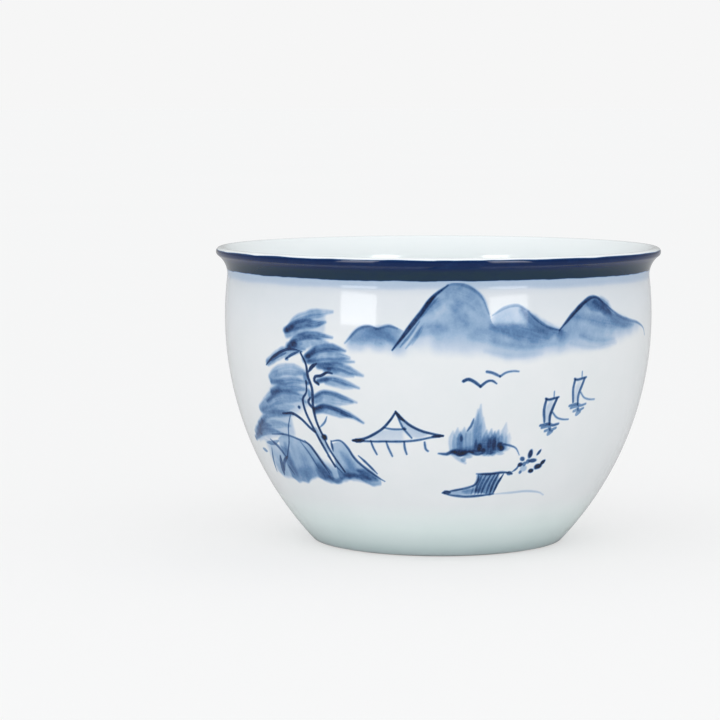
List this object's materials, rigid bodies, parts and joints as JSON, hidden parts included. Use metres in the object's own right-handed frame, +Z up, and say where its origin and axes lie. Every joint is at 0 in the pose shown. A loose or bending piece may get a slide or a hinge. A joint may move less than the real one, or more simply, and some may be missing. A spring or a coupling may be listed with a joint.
{
  "type": "teacup",
  "caption": "small handleless porcelain teacup with a flared blue-banded lip, a rounded vat-shaped wall on a low foot ring and a landscape painted in cobalt blue",
  "frame": {"origin": "centre of the foot, on the face the cup rests on", "axes": "+Z up along the cup's axis, -Y towards the painted front, +X to the right as one faces the front"},
  "size_m": [0.077, 0.077, 0.051],
  "materials": {
    "porcelain": "fired, smooth, bare only at the foot ring",
    "clear_glaze": "glossy, faint bluish green",
    "blue_glaze": "glossy cobalt blue",
    "cobalt_painting": "brushed cobalt washes and lines under glossy clear glaze"
  },
  "bodies": {
    "root": {"porcelain_body": "porcelain", "outer_glaze": "clear_glaze", "inner_glaze": "clear_glaze", "base_glaze": "clear_glaze", "rim_band": "blue_glaze", "mountain_range": "cobalt_painting", "pine_tree": "cobalt_painting", "rocks": "cobalt_painting", "pavilion": "cobalt_painting", "islet_grove": "cobalt_painting", "shrub": "cobalt_painting", "shore_bank": "cobalt_painting", "boat_near": "cobalt_painting", "boat_far": "cobalt_painting", "bird_low": "cobalt_painting", "bird_high": "cobalt_painting"}
  },
  "joints": []
}
